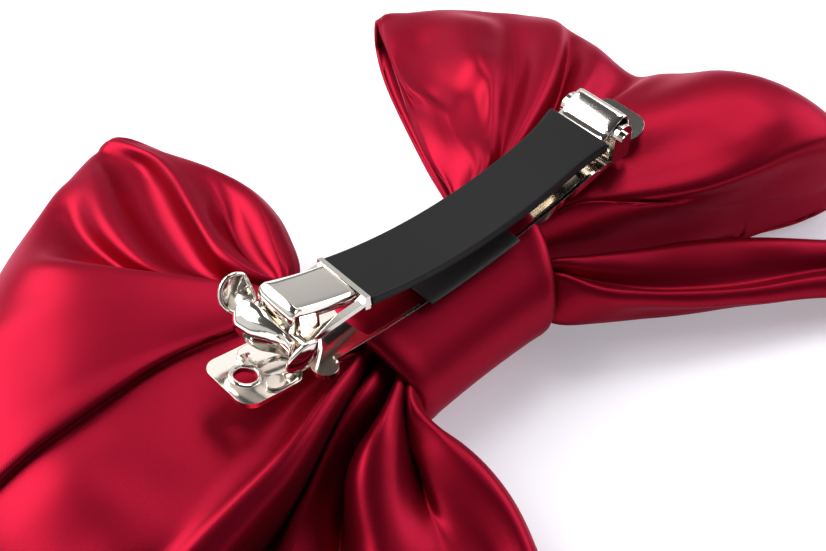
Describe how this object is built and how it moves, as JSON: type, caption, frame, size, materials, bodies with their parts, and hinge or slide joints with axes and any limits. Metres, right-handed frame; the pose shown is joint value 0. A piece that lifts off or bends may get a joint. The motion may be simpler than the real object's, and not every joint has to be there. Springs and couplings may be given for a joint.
{
  "type": "hair bow barrette",
  "caption": "Gathered satin hair bow with side loops and hanging tails, tied by a knot band round a curved sprung barrette with an arm and finger latch.",
  "frame": {"origin": "middle of the flat front of the knot, which the bow rests on when it lies face down", "axes": "+X along the barrette from its clasp to its hinge, +Y away from the tails, +Z out of the back of the bow, towards the hair"},
  "size_m": [0.165, 0.131, 0.0337],
  "materials": {
    "nickel": "polished nickel plate",
    "spring_nickel": "polished nickel-plated spring steel",
    "leatherette": "matt black",
    "label": "woven satin ribbon, blank",
    "thread": "twisted thread",
    "satin": "crimson polyester satin"
  },
  "bodies": {
    "bow": {"base_plate": "nickel", "hinge_pin": "nickel", "tension_bar": "nickel", "latch_base": "spring_nickel", "gather_core": "satin", "binding_thread": "thread", "knot_band": "satin", "label_tag": "label", "left_loop": "satin", "right_loop": "satin", "left_tail": "satin", "right_tail": "satin"},
    "arm": {"top_arm": "nickel", "arm_cover": "leatherette"},
    "far_ear": {"far_latch_ear": "spring_nickel"},
    "near_ear": {"near_latch_ear": "spring_nickel"}
  },
  "joints": [
    {"name": "arm_hinge", "type": "hinge", "parent": "bow", "child": "arm", "pos_m": [0.0322, 0, 0.0272], "axis": [0, 1, 0], "range_deg": [0, 100]},
    {"name": "far_ear_squeeze", "type": "hinge", "parent": "bow", "child": "far_ear", "pos_m": [-0.0326, 0.0043, 0.0256], "axis": [1, 0, 0], "range_deg": [0, 7], "stiffness_Nm_per_rad": 0.02},
    {"name": "near_ear_squeeze", "type": "hinge", "parent": "bow", "child": "near_ear", "pos_m": [-0.0326, -0.0043, 0.0256], "axis": [-1, 0, 0], "range_deg": [0, 7], "stiffness_Nm_per_rad": 0.02}
  ],
  "couplings": [
    {"joint": "near_ear_squeeze", "follows": "far_ear_squeeze", "ratio": 1}
  ]
}
